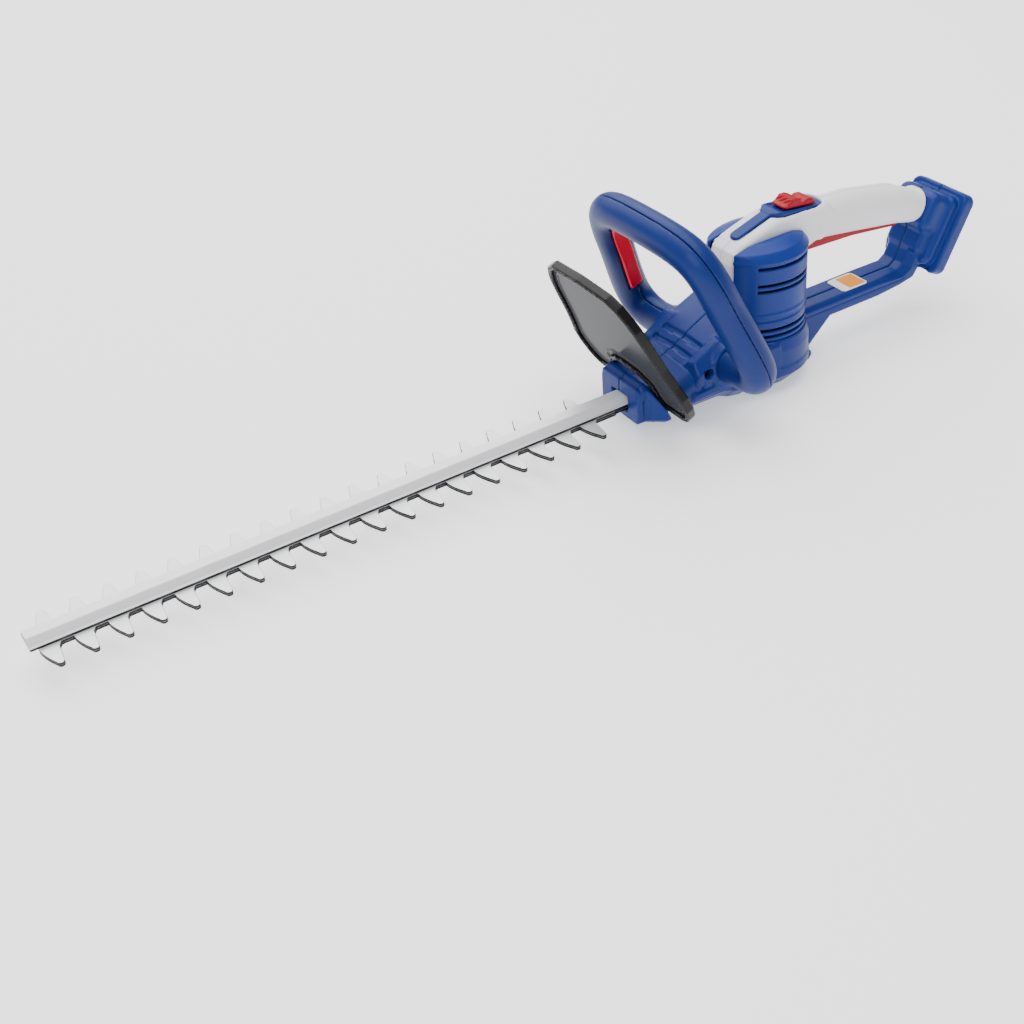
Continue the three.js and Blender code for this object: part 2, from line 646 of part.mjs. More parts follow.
function triggerReturn() {
  const { x, z } = TRIGGER_PIVOT;
  const turns = new THREE.CatmullRomCurve3(Array.from({ length: 19 }, (_, i) => {
    const angle = (i * Math.PI) / 3;
    return new THREE.Vector3(x + 3.4 * Math.cos(angle), 7.6 + i * 0.21, z + 3.4 * Math.sin(angle));
  }));
  const wire = circle(0.5, 4);
  const shape = new THREE.Shape(wire.map(([a, b]) => new THREE.Vector2(a, b)));
  const coil = new THREE.ExtrudeGeometry(shape, { steps: 22, bevelEnabled: false, extrudePath: turns });
  return [
    part('trigger_pin', pin(x, z, 2, -11.5, 11.8, 16), STEEL),
    part('trigger_spring', solid(coil), STEEL),
  ];
}

function microswitch(name, body) {
  return part(name, body, BLACK);
}

// -------------------------------------------------------------- motor covers

function coverBlank(shrink) {
  return stretched(turned(MOTOR_X, [
    [0, 20], [HOUSING_R - shrink, 20], [HOUSING_R - shrink, 113 - shrink], [HOUSING_R - 5 - shrink, 120 - shrink],
    [HOUSING_R - 15 - shrink, COVER_TOP - shrink], [0, COVER_TOP - shrink],
  ], 32));
}

function ventCovers() {
  const cheek = SPINE + GAP;
  const skin = cut(coverBlank(0), coverBlank(WALL));
  const slots = [105, 88, 82, 41.5, 35].map((z) => box(131, 196, -60, 60, z, z + 2.8));
  const louvred = cut(skin, ...slots);
  const sideOf = (sign) => box(100, 220, Math.min(sign * cheek, sign * 60), Math.max(sign * cheek, sign * 60),
    BOWL_TOP + GAP, 140);
  return [
    part('vent_cover_left', louvred.intersect(sideOf(-1)), BLUE),
    part('vent_cover_right', louvred.intersect(sideOf(1)), BLUE),
  ];
}

// --------------------------------------------------------------- front handle

const LOOP_POINTS = [
  [LOOP_FOOT, FOOT_Z], [64, FOOT_Z], [81, 33.5], [91, 43.5], [93.2, 58], [89, 82], [82, 110], [77, 135], [67, 155],
  [46, 165], [0, 167.5],
];

function loopCurve(first) {
  const sidePoints = LOOP_POINTS.slice(first).map(([y, z]) => [y, z / Math.cos(LOOP_LEAN)]);
  const left = sidePoints.map(([y, s]) => new THREE.Vector3(-y, s, 0));
  const right = sidePoints.slice(0, -1).reverse().map(([y, s]) => new THREE.Vector3(y, s, 0));
  return new THREE.CatmullRomCurve3([...left, ...right]);
}

// section in [towards the front, outwards from the loop]
function sweep(section, curve, steps) {
  const shape = new THREE.Shape(section.map(([a, b]) => new THREE.Vector2(a, b)));
  return solid(new THREE.ExtrudeGeometry(shape, { steps, bevelEnabled: false, extrudePath: curve }));
}

function circle(radius, sides) {
  return Array.from({ length: sides }, (_, i) => {
    const angle = (2 * Math.PI * (i + 0.5)) / sides;
    return [radius * Math.cos(angle), radius * Math.sin(angle)];
  });
}

const rectangle = (a0, a1, b0, b1) => [[a0, b0], [a1, b0], [a1, b1], [a0, b1]];

function frontLoop() {
  const curve = loopCurve(0);
  const steps = 32;
  const tube = cut(sweep(circle(LOOP_R, 14), curve, steps), sweep(circle(LOOP_BORE, 10), curve, steps));
  const mouth = sweep(rectangle(-8, 8, -LOOP_R - 4, -6.5), loopCurve(4), 24);
  const open = cut(tube, mouth);
  const reach = 400;
  const front = open.intersect(box(-reach, reach, -reach, reach, -reach, -SPLIT));
  const rear = open.intersect(box(-reach, reach, -reach, reach, SPLIT, reach));
  const bar = sweep(rectangle(-7.2, 7.2, -LOOP_R - 1.2, -10.5), loopCurve(4), 24);
  const trimmed = bar.intersect(box(-reach, reach, 72, reach, -reach, reach));
  const foot = box(-reach, reach, -LOOP_FOOT - GAP, LOOP_FOOT + GAP, -reach, 100);
  return [
    part('loop_front_shell', lean(front, LOOP_X, LOOP_LEAN).subtract(foot), BLUE),
    part('loop_rear_shell', lean(rear, LOOP_X, LOOP_LEAN).subtract(foot), BLUE),
    part('front_switch_bar', lean(trimmed, LOOP_X, LOOP_LEAN), RED),
    microswitch('front_microswitch', lean(box(-10, 10, 183, 189, -4, 4), LOOP_X, LOOP_LEAN)),
  ];
}

// --------------------------------------------------------------------- guard

const GUARD_OUTLINE = mirrored([
  [0, 38], [16, 37], [28, 30], [30, 5], [63, 5], [73, 9], [79, 16], [83.5, 27], [84, 40], [79.5, 52], [74, 70],
  [70.5, 90], [68.5, 100], [65.5, 112], [61, 121.5], [53, 133], [41, 140], [0, 142.5],
]).map(([y, z]) => [y, z / Math.cos(GUARD_LEAN)]);

function guard() {
  const depth = GUARD_DEPTH;
  const rim = solid(prism(GUARD_OUTLINE, depth, [inset(GUARD_OUTLINE, 5.5)]).translate(0, 0, -depth / 2));
  const groove = solid(prism(inset(GUARD_OUTLINE, 2.5), 3.2).translate(0, 0, -1.6));
  const pane = solid(prism(inset(GUARD_OUTLINE, 3), 2.6).translate(0, 0, -1.3));
  return [
    part('guard_frame', lean(cut(rim, groove), GUARD_X, GUARD_LEAN), BLACK),
    part('guard_pane', lean(pane, GUARD_X, GUARD_LEAN), SMOKE),
  ];
}

// ---------------------------------------------------------------- electrical

function electrics() {
  const block = cut(box(-12.5, -2, -17, 17, 20, 52), ...[-11, 0, 11].map((y) => box(-9, 0, y - 2, y + 2, 17, 46)));
  const contacts = [-11, 0, 11].map((y, i) => part(`contact_${i + 1}`, dockPlace(box(-8.8, -2.5, y - 0.5, y + 0.5, 18, 44)), BRASS));
  const board = union(box(224, 286, -12.5, 12.5, 18, 19.6), box(232, 252, -8, 8, 19, 26), post(266, 0, 5, 19, 27, 16));
  const rearSwitch = box(226, 248, -6.5, 6.5, 106.5, 114);
  return [
    part('terminal_block', dockPlace(block), BLACK),
    ...contacts,
    part('control_board', board, GREEN),
    microswitch('rear_microswitch', rearSwitch),
    part('label_plate', box(257, 288, -13, 13, 32 + 0.05, 32.7), WHITE),
  ];
}

// ------------------------------------------------------------------ assembly

const machine = new THREE.Group();
machine.add(
  ...casing(),
  ...CASE_SCREWS.map(([x, z], i) => caseScrew(`case_screw_${i + 1}`, x, z)),
  ...handleShells(),
  ...HANDLE_SCREWS.map(([x, z], i) => caseScrew(`handle_screw_${i + 1}`, x, z)),
  lockPanel(),
  lockSlider(),
  rearTrigger(),
  ...triggerReturn(),
  ...ventCovers(),
  ...frontLoop(),
  ...guard(),
  bladeRail(),
  blade('upper_blade', 0.15),
  blade('lower_blade', -0.15 - BLADE),
  ...guideHardware(),
  ...crank(),
  ...gearcase(),
  ...motor(),
  ...electrics(),
);

const bounds = new THREE.Box3().setFromObject(machine);
machine.position.set(-(bounds.min.x + bounds.max.x) / 2, 0, -bounds.min.z);

const hedgeTrimmer = new THREE.Group();
hedgeTrimmer.add(machine);
export default hedgeTrimmer;
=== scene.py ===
# Looks of the cordless hedge trimmer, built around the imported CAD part.
# Shapes are drawn in millimetres in the part's drawing frame: x = 0 at the nose, blades towards -X,
# z = 0 between the two blades. Moulded pieces are distance fields meshed on a grid.

import json
import math

import bmesh
import bpy
import numpy as np
from mathutils import Matrix, Vector

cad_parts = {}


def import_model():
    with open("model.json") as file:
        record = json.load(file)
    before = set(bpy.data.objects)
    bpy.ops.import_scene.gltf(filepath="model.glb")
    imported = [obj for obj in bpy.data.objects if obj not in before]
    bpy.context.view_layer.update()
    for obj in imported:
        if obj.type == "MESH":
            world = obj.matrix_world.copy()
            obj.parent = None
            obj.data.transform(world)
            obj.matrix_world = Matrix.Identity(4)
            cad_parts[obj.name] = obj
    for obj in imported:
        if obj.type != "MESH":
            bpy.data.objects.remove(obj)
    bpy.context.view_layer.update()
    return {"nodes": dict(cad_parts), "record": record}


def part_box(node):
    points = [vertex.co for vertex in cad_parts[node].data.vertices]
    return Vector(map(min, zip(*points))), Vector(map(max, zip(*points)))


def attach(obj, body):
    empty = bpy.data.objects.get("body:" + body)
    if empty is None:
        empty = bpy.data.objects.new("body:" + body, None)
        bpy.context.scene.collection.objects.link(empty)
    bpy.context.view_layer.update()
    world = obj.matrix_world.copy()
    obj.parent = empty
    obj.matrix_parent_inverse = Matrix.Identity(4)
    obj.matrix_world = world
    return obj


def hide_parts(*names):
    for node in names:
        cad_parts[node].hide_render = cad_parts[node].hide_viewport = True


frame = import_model()

# ---------------------------------------------------------------- dimensions

RAIL_FRONT = -563
SHIFT_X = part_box("blade_rail")[0].x * 1000 - RAIL_FRONT
SHIFT_Z = (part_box("upper_blade")[0].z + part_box("lower_blade")[1].z) * 500
WALL = 3
HALF_GAP = 0.15
GRID = 1.5
FINE = 1.0

TEETH = 19
PITCH = 28
FIRST_TOOTH = -549
TOOTH_REACH = 37
TOOTH_ROOT = 11.5
TOOTH_BASE = 15.5
TOOTH_LEAN = 7.5
STAGGER = 5.6
BLADE = 2
STROKE = 7.854
TANG = 9.5
RAIL_REAR = 58
RAIL_TOP = 12.5
RAIL_HALF = 11
BOLTS = (-520, -380, -240, -100)
BOLT_R = 2.9
CRANK_X = 117.5
ECCENTRIC_R = 13.5
MOTOR_X = 161
HOUSING_R = 44
FRONT_STRETCH = 1.15
HOUSING_FRONT = 114
THICK = 4.4
LUG_X = 67
LUG_Z = 28.5
BOWL_R = 49
BOWL_BOTTOM = -24
BOWL_TOP = 31
COVER_TOP = 124
SPINE = 17.6
BAR_HALF = 18
GUARD_LEAN = math.radians(25.5)
GUARD_X = 30.5
GUARD_DEPTH = 9
LOOP_LEAN = math.radians(22.86)
LOOP_X = 104.5
LOOP_R = 16.4
LOOP_BORE = 14.1
LOOP_FOOT = 47
FOOT_Z = 30
FOOT_X = LOOP_X - FOOT_Z * math.tan(LOOP_LEAN)
DOCK_LEAN = math.radians(27.5)
DOCK_X = 364
DOCK_Z = 21
DOCK_HALF = 36
DOCK_HEIGHT = 82
SCREW_HOLE_R = 2.2
SCREW_HOLE_DEPTH = 14
SCREW_HEAD_R = 4.6
SCREW_SEAT = 11
CASE_POST_R = 6
HANDLE_POST_R = 5.5
TRIGGER_PIVOT = (321, 88)
VENT_LEVELS = (35, 41.5, 82, 88, 105)
FRONT_VENT_LEVELS = (86, 92, 98)

# ------------------------------------------------------------------ distance


def smin(a, b, k):
    h = np.maximum(k - np.abs(a - b), 0) / k
    return np.minimum(a, b) - h * h * k / 4


def smax(a, b, k):
    return -smin(-a, -b, k)


def chamfer(a, b, c):
    """Both a and b, with the edge between them cut off at 45 degrees, c wide."""
    return np.maximum(np.maximum(a, b), (a + b + c) * 0.7071)


def rounded(a, b, r):
    """Both a and b, with the edge between them rounded to radius r."""
    outside = np.hypot(np.maximum(a + r, 0), np.maximum(b + r, 0))
    return outside + np.minimum(np.maximum(a, b) + r, 0) - r


def block(x, y, z, low, high, r):
    parts = [np.abs(v - (a + b) / 2) - (b - a) / 2 + r for v, a, b in zip((x, y, z), low, high)]
    outside = np.sqrt(sum(np.maximum(p, 0) ** 2 for p in parts))
    return outside + np.minimum(np.maximum(np.maximum(*parts[:2]), parts[2]), 0) - r


def polygon(a, b, points):
    best = 1e12
    inside = False
    for (pa, pb), (qa, qb) in zip(points, points[-1:] + points[:-1]):
        ea, eb = qa - pa, qb - pb
        wa, wb = a - pa, b - pb
        t = np.clip((wa * ea + wb * eb) / (ea * ea + eb * eb), 0, 1)
        best = np.minimum(best, (wa - ea * t) ** 2 + (wb - eb * t) ** 2)
        up, down, left = b >= pb, b < qb, ea * wb > eb * wa
        inside = inside ^ ((up & down & left) | (~up & ~down & ~left))
    return np.where(inside, -1.0, 1.0) * np.sqrt(best)


def band(x, start, end, soft=0.5):
    """1 between start and end, falling to 0 over soft on both sides."""
    rise = np.clip((x - start) / soft + 0.5, 0, 1)
    fall = np.clip((end - x) / soft + 0.5, 0, 1)
    return rise * fall


def along(x, places, sizes):
    return np.interp(x, places, sizes)


def ring_y(x, z, cx, cz, radius):
    return np.hypot(x - cx, z - cz) - radius


def motor_radius(x, y):
    """Distance from the motor axis, with the front half drawn out to meet the spine."""
    ahead = x - MOTOR_X
    return np.hypot(np.where(ahead < 0, ahead / FRONT_STRETCH, ahead), y)


def guard_axes(x, z):
    across = (x - GUARD_X) * math.cos(GUARD_LEAN) + z * math.sin(GUARD_LEAN)
    up = -(x - GUARD_X) * math.sin(GUARD_LEAN) + z * math.cos(GUARD_LEAN)
    return across, up


def dock_axes(x, z):
    out = (x - DOCK_X) * math.cos(DOCK_LEAN) - (z - DOCK_Z) * math.sin(DOCK_LEAN)
    up = (x - DOCK_X) * math.sin(DOCK_LEAN) + (z - DOCK_Z) * math.cos(DOCK_LEAN)
    return out, up


# --------------------------------------------------------------------- mesher


def cell_corners():
    return [(i, j, k) for i in (0, 1) for j in (0, 1) for k in (0, 1)]


def skin(field, low, high, step):
    """Vertices and quads over the zero level of field, by surface nets, moved onto the surface."""
    axes = [np.arange(a - 2 * step, b + 3 * step, step) for a, b in zip(low, high)]
    x, y, z = axes[0][:, None, None], axes[1][None, :, None], axes[2][None, None, :]
    shape = tuple(len(a) for a in axes)
    values = np.broadcast_to(field(x, y, z), shape)
    inside = values < 0
    cells = tuple(n - 1 for n in shape)

    def corner(array, offset):
        return array[tuple(slice(o, o + n) for o, n in zip(offset, cells))]

    count = sum(corner(inside, o).astype(np.int8) for o in cell_corners())
    mixed = (count > 0) & (count < 8)
    index = np.full(cells, -1, np.int64)
    index[mixed] = np.arange(mixed.sum())
    where = np.argwhere(mixed)
    total = np.zeros((len(where), 3))
    hits = np.zeros(len(where))
    for start in cell_corners():
        for axis in range(3):
            if start[axis]:
                continue
            end = tuple(o + (i == axis) for i, o in enumerate(start))
            va = values[tuple((where + start).T)]
            vb = values[tuple((where + end).T)]
            crossed = (va < 0) != (vb < 0)
            t = np.where(crossed, va / np.where(crossed, va - vb, 1), 0)
            point = where + start + np.outer(t, [i == axis for i in range(3)])
            total[crossed] += point[crossed]
            hits += crossed
    points = total / hits[:, None] * step + [a[0] for a in axes]
    points = settle(field, points, step)
    faces = []
    for axis in range(3):
        b, c = (axis + 1) % 3, (axis + 2) % 3
        first = [slice(None)] * 3
        second = [slice(None)] * 3
        first[axis], second[axis] = slice(None, -1), slice(1, None)
        for other in (b, c):
            first[other] = second[other] = slice(1, -1)
        one, two = inside[tuple(first)], inside[tuple(second)]
        for flip, chosen in ((False, one & ~two), (True, ~one & two)):
            at = np.argwhere(chosen)
            quad = []
            for db, dc in ((0, 0), (1, 0), (1, 1), (0, 1)):
                cell = at.copy()
                cell[:, b] += db
                cell[:, c] += dc
                quad.append(index[tuple(cell.T)])
            quad = np.stack(quad, 1)
            faces.append(quad[:, ::-1] if flip else quad)
    return points, np.concatenate(faces)


def settle(field, points, step):
    """Newton steps down the gradient, never further than one grid cell."""
    start = points.copy()
    h = 0.02
    for _ in range(4):
        x, y, z = points.T
        value = field(x, y, z)
        slope = np.stack([
            field(x + h, y, z) - field(x - h, y, z),
            field(x, y + h, z) - field(x, y - h, z),
            field(x, y, z + h) - field(x, y, z - h),
        ], 1) / (2 * h)
        size = np.maximum((slope ** 2).sum(1), 0.09)
        points = points - slope * (value / size)[:, None]
        points = start + np.clip(points - start, -step, step)
    return points


def to_row(points):
    return (np.asarray(points, float) + (SHIFT_X, 0, SHIFT_Z)) / 1000


def from_guard(points):
    y, up, across = np.asarray(points, float).T
    x = GUARD_X - up * math.sin(GUARD_LEAN) + across * math.cos(GUARD_LEAN)
    return np.stack([x, y, up * math.cos(GUARD_LEAN) + across * math.sin(GUARD_LEAN)], 1)


def from_loop(points):
    y, up, across = np.asarray(points, float).T
    x = LOOP_X - up * math.sin(LOOP_LEAN) + across * math.cos(LOOP_LEAN)
    return np.stack([x, y, up * math.cos(LOOP_LEAN) + across * math.sin(LOOP_LEAN)], 1)


def add_piece(name, points, faces, material, body, nodes, smooth=True):
    mesh = bpy.data.meshes.new(name)
    mesh.from_pydata(to_row(points).tolist(), [], [list(map(int, f)) for f in faces])
    mesh.polygons.foreach_set("use_smooth", [smooth] * len(mesh.polygons))
    mesh.update()
    obj = bpy.data.objects.new(name, mesh)
    bpy.context.scene.collection.objects.link(obj)
    mesh.materials.append(material)
    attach(obj, body)
    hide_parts(*nodes)
    return obj


def mould(name, field, low, high, step, material, body, nodes, slot, place=None, keep=1):
    points, faces = skin(field, low, high, step)
    if place:
        points = place(points)
    points, faces = largest(points, faces, keep)
    return add_piece(name, points, faces, material, body, nodes)


def largest(points, faces, keep):
    """Only the keep biggest connected pieces, so that no specks are left."""
    label = np.arange(len(points))
    while True:
        low = label[faces].min(1)
        new = label.copy()
        np.minimum.at(new, faces.ravel(), np.repeat(low, faces.shape[1]))
        new = new[new]
        if (new == label).all():
            break
        label = new
    names, counts = np.unique(label[faces[:, 0]], return_counts=True)
    chosen = names[np.argsort(-counts)[:keep]]
    faces = faces[np.isin(label[faces[:, 0]], chosen)]
    used = np.unique(faces)
    back = np.zeros(len(points), np.int64)
    back[used] = np.arange(len(used))
    return points[used], back[faces]


# --------------------------------------------------------------------- screws


def add_posts(body, x, y, z, screws, radius):
    """The posts inside a shell that the screws go into."""
    for screw_x, screw_z, reach in screws:
        post = np.maximum(ring_y(x, z, screw_x, screw_z, radius), np.abs(y) - reach)
        body = np.minimum(body, post)
    return body


def cut_screws(body, x, y, z, screws):
    """The thread hole and the wider well of each head, which is on the +Y side."""
    for screw_x, screw_z, _ in screws:
        hole = np.maximum(ring_y(x, z, screw_x, screw_z, SCREW_HOLE_R), np.abs(y) - SCREW_HOLE_DEPTH)
        well = np.maximum(ring_y(x, z, screw_x, screw_z, SCREW_HEAD_R), SCREW_SEAT - y)
        body = smax(body, -np.minimum(hole, well), 0.5)
    return body


# ------------------------------------------------------------------ materials


def socket(node, name, value):
    node.inputs[name].default_value = value


def new_material(name, color, roughness, metallic=0.0, coat=0.0, specular=0.2):
    material = bpy.data.materials.new(name)
    material.use_nodes = True
    shader = material.node_tree.nodes["Principled BSDF"]
    socket(shader, "Base Color", (*color, 1))
    socket(shader, "Roughness", roughness)
    socket(shader, "Metallic", metallic)
    socket(shader, "Coat Weight", coat)
    socket(shader, "Coat Roughness", 0.12)
    socket(shader, "Specular IOR Level", specular)
    return material, shader


def object_coordinates(material):
    return material.node_tree.nodes.new("ShaderNodeTexCoord").outputs["Object"]


def noise(material, scale, detail=2.0, stretch=None):
    tree = material.node_tree
    texture = tree.nodes.new("ShaderNodeTexNoise")
    socket(texture, "Scale", scale)
    socket(texture, "Detail", detail)
    source = object_coordinates(material)
    if stretch:
        mapping = tree.nodes.new("ShaderNodeMapping")
        socket(mapping, "Scale", stretch)
        tree.links.new(source, mapping.inputs["Vector"])
        source = mapping.outputs["Vector"]
    tree.links.new(source, texture.inputs["Vector"])
    return texture.outputs["Fac"]


def grain(material, shader, scale, strength, distance, stretch=None):
    tree = material.node_tree
    bump = tree.nodes.new("ShaderNodeBump")
    socket(bump, "Strength", strength)
    socket(bump, "Distance", distance)
    tree.links.new(noise(material, scale, 3.0, stretch), bump.inputs["Height"])
    tree.links.new(bump.outputs["Normal"], shader.inputs["Normal"])


def vary(material, shader, low, high, scale, stretch=None):
    """Roughness that wanders between low and high."""
    tree = material.node_tree
    ramp = tree.nodes.new("ShaderNodeMapRange")
    socket(ramp, "To Min", low)
    socket(ramp, "To Max", high)
    tree.links.new(noise(material, scale, 2.0, stretch), ramp.inputs["Value"])
    tree.links.new(ramp.outputs["Result"], shader.inputs["Roughness"])


def plastic(name, color, roughness, coat=0.0, bump=0.25):
    material, shader = new_material(name, color, roughness, coat=coat)
    vary(material, shader, roughness - 0.05, roughness + 0.05, 40)
    grain(material, shader, 2200, bump, 0.00006)
    return material


def metal(name, color, roughness, stretch=None, metallic=1.0):
    material, shader = new_material(name, color, roughness, metallic=metallic)
    vary(material, shader, roughness - 0.06, roughness + 0.08, 60, stretch)
    grain(material, shader, 900, 0.08, 0.00001, stretch)
    return material


BLUE = plastic("casing_blue", (0.007, 0.026, 0.18), 0.36)
COVER = plastic("cover_blue", (0.009, 0.032, 0.22), 0.36)
LOOP = plastic("loop_blue", (0.006, 0.021, 0.145), 0.42, bump=0.45)
GREY = plastic("handle_grey", (0.82, 0.82, 0.85), 0.5, bump=0.5)
RED = plastic("control_red", (0.75, 0.001, 0.024), 0.33)
DEEP_RED = plastic("control_deep_red", (0.34, 0.0005, 0.012), 0.4)
BLACK = plastic("black_plastic", (0.012, 0.012, 0.013), 0.45)
RIM = plastic("guard_black", (0.006, 0.006, 0.007), 0.24, bump=0.05)
ALUMINIUM = metal("rail_aluminium", (0.84, 0.84, 0.87), 0.34, (0.05, 1.0, 1.0), 0.3)
# Painted shade: a near-black steel for the steep faces of the blades and the rail, which stand in shade.
EDGE_SHADE = metal("painted_edge_shade", (0.035, 0.035, 0.037), 0.35)
CAST = metal("cast_aluminium", (0.62, 0.62, 0.63), 0.45)
BLADE_STEEL = metal("blade_steel", (0.84, 0.85, 0.86), 0.36, (1.0, 0.08, 1.0), 0.5)
STEEL = metal("steel", (0.6, 0.61, 0.63), 0.3)
BRASS = metal("contact_brass", (0.72, 0.5, 0.2), 0.3)
BOARD = plastic("board_green", (0.02, 0.15, 0.06), 0.5)
LABEL = plastic("label_white", (0.85, 0.85, 0.83), 0.4, bump=0.0)
YELLOW = plastic("label_yellow", (0.85, 0.30, 0.0), 0.4, bump=0.0)


def smoke():
    material, shader = new_material("guard_smoke", (0.05, 0.051, 0.056), 0.16, specular=0.06)
    socket(shader, "Transmission Weight", 0.1)
    socket(shader, "IOR", 1.18)
    grain(material, shader, 300, 0.04, 0.00004)
    return material


SMOKE = smoke()

# --------------------------------------------------------------------- casing

BAR_OUTLINE = [
    (190, 13), (200, -18), (213, -10), (238, 13.5), (332, 13.5), (347, 16), (354, 26), (368, 50), (386, 84),
    (382, 96), (362, 96), (353, 76), (348, 64), (334, 37), (327, 32), (190, 32),
]


def gearbox(x, ay, z, detail):
    recess = 2.2 * (band(x, 58.2, 62.9) + band(x, 69.8, 75.0)) + 1.0 * band(x, 51.2, 52.4)
    recess = detail * recess * band(z, 15, 200, 2)
    half = along(x, [33, 52, 86, HOUSING_FRONT], [43, 45, 46, 44]) - recess
    top = along(x, [24, 52, 86, HOUSING_FRONT], [22, 35.6, 53, 67]) - recess - 2.5 * (ay / 32) ** 2
    bottom = along(x, [33, 86, 101, HOUSING_FRONT], [-9, -9, -15, -18])
    section = chamfer(rounded(ay - half, z - top, 13), bottom - z, 12)
    upper = smax(section * 0.9, np.maximum(26 - x, x - HOUSING_FRONT), 1.5)
    side = along(x, [100, 150], [43, 47])
    floor_z = along(x, [100, 150], [-16, -23])
    lower = chamfer(rounded(ay - side, z - 29.5, 4), floor_z - z, 16)
    lower = np.maximum(lower, np.abs(x - 125) - 25)
    body = smin(upper, lower, 6)
    if not detail:
        return body
    ledge = rounded(ay - 48 + 0.05 * (x - 50), np.abs(z - 9) - 3.5, 1.6)
    ledge = smax(ledge, np.abs(x - 80) - 32, 2)
    return smin(body, ledge, 2)


def nose(x, ay, z):
    half = along(x, [0, 9, 24, 40], [29.5, 30, 42, 42])
    top = along(x, [0, 5, 9, 24, 40], [23.5, 29.5, 31, 8, 8])
    section = chamfer(chamfer(ay - half, z - top, 4.5), -10.4 - z, 4)
    panel = band(x, 5.5, 12, 1.0) * band(z, -6, 16, 1.0) * 1.2
    body = smax(section, -x, 2.0)
    return np.where(ay > 22, body + panel, body)


def bowl(x, y, z, detail):
    r = np.hypot(x - MOTOR_X, y)
    profile = [
        (-60, BOWL_BOTTOM), (32, BOWL_BOTTOM), (BOWL_R, -6), (BOWL_R, 2), (BOWL_R - detail, 3.4),
        (BOWL_R - detail, 20), (BOWL_R - 4, BOWL_TOP), (-60, BOWL_TOP),
    ]
    return smax(polygon(r, z, profile), BOWL_BOTTOM + 0.2 - z, 1)


def column(x, y, z, detail):
    ay = np.abs(y)
    groove = detail * 0.8 * band(z, 23.6, 24.8) * band(x, 200, 332, 4)
    edge = along(x, [300, 336], [3.5, 7]) * np.where(y > 0, 0.4, 1)
    return chamfer(polygon(x, z, BAR_OUTLINE), ay - BAR_HALF + groove, edge)


def dock_head(x, ay, z):
    out, up = dock_axes(x, z)
    middle = DOCK_HEIGHT / 2
    rear = rounded(rounded(ay - DOCK_HALF, np.abs(up - middle) - middle, 9), np.abs(out + 7) - 7, 2.2)
    front = chamfer(rounded(ay - 30, np.abs(up - middle) - middle + 6, 9), -26 - out, 4)
    front = np.maximum(front, out + 7)
    neck = block(out, ay, up, (-45, -26, 36), (-20, 26, 75), 9.5)
    shoulder = block(out, ay, up, (-36, -22, 14), (-20, 22, 60), 6)
    return smin(smin(rear, front, 1.2), smin(neck, shoulder, 4), 4)


def boss(x, ay, z):
    tube = smax(ring_y(x, z, FOOT_X, FOOT_Z, 20), ay - LOOP_FOOT, 2.0)
    top = 38 + 0.52 * (x - 55)
    lug = chamfer(ay - 46.3, (z - top) * 0.89, 9)
    lug = smax(smax(lug, np.abs(x - 70.5) - 15.5, 3), 17 - z, 3)
    return smax(smin(tube, lug, 4), 28 - ay, 2)


CASE_SCREWS = ((LUG_X, LUG_Z, 43), (196, -7, 32), (304, 22.8, 16), (350, 52, 13))


def outer_casing(x, y, z, detail):
    """The closed outside of the casing; with detail 0 it has no recesses or ledges."""
    ay = np.abs(y)
    across, _ = guard_axes(x, z)
    body = gearbox(x, ay, z, detail)
    if detail:
        body = smin(body, boss(x, ay, z), 4)
    body = smax(body, 4.8 - across, 1.2)
    front = smax(nose(x, ay, z), across + 4.8, 1.2)
    collar = smax(rounded(ay - 28, np.abs(z - 8.7) - 18.2, 3), np.abs(x - 20) - 20, 1)
    body = smin(smin(body, front, 1), collar, 1)
    body = smin(body, bowl(x, y, z, detail), 2)
    return smin(body, smin(column(x, y, z, detail), dock_head(x, ay, z), 3), 2)


def casing(x, y, z):
    ay = np.abs(y)
    out, up = dock_axes(x, z)
    across, _ = guard_axes(x, z)
    r = np.hypot(x - MOTOR_X, y)
    hollow = np.maximum(outer_casing(x, y, z, 0) + THICK, np.maximum(out + 27, 8 - across))
    body = smax(outer_casing(x, y, z, 1), -hollow, 0.6)
    cradle = smax(np.abs(r - 38.8) - 1.5, np.abs(z - 67) - 41, 0.5)
    window = np.maximum(np.abs(x - MOTOR_X) - 27, np.abs(z - 69) - 31)
    cradle = smax(cradle, -window, 0.5)
    body = add_posts(body, x, y, z, CASE_SCREWS, CASE_POST_R)
    above = np.maximum(motor_radius(x, y) - HOUSING_R - 0.6, BOWL_TOP + 0.3 - z)
    above = np.maximum(above, HOUSING_FRONT + 0.3 - x)
    gear = np.maximum(np.hypot(x - CRANK_X, y) - 38.4, np.abs(z - 10) - 6)
    blades = block(x, y, z, (-5, -12, -3.2), (46, 12, RAIL_TOP + 1), 0.5)
    recess = block(out, y, up, (-13, -27, -10), (10, 27, 70), 1.5)
    leads = np.minimum(np.maximum(r - 22.4, np.abs(z - 28) - 8), ring_y(x, z, FOOT_X, FOOT_Z, 9) + 0 * y)
    well = np.maximum(ring_y(x, z, LUG_X, LUG_Z, 4.8), y + 16)
    for cut in (above, gear):
        body = smax(body, -cut, 0.8)
    body = np.minimum(body, cradle)
    for cut in (blades, recess, leads, well):
        body = smax(body, -cut, 0.8)
    body = cut_screws(body, x, y, z, CASE_SCREWS)
    rails = block(out, ay, up, (-2.5, 22, 1), (0, 27.5, 71), 0.5)
    return np.minimum(body, rails)


def left(field):
    return lambda x, y, z: smax(field(x, y, z), y + HALF_GAP, 0.7)


def right(field):
    return lambda x, y, z: smax(field(x, y, z), HALF_GAP - y, 0.7)


def both(name, field, low, high, step, material, slot):
    """Two shells that part on the middle plane, each half meshed on its own grid."""
    for side, cut, box in (
        ("left", left(field), (low, (high[0], 0, high[2]))),
        ("right", right(field), ((low[0], 0, low[2]), high)),
    ):
        mould(f"{name}_{side}_look", cut, *box, step, material, "machine", [f"{name}_{side}"], slot)


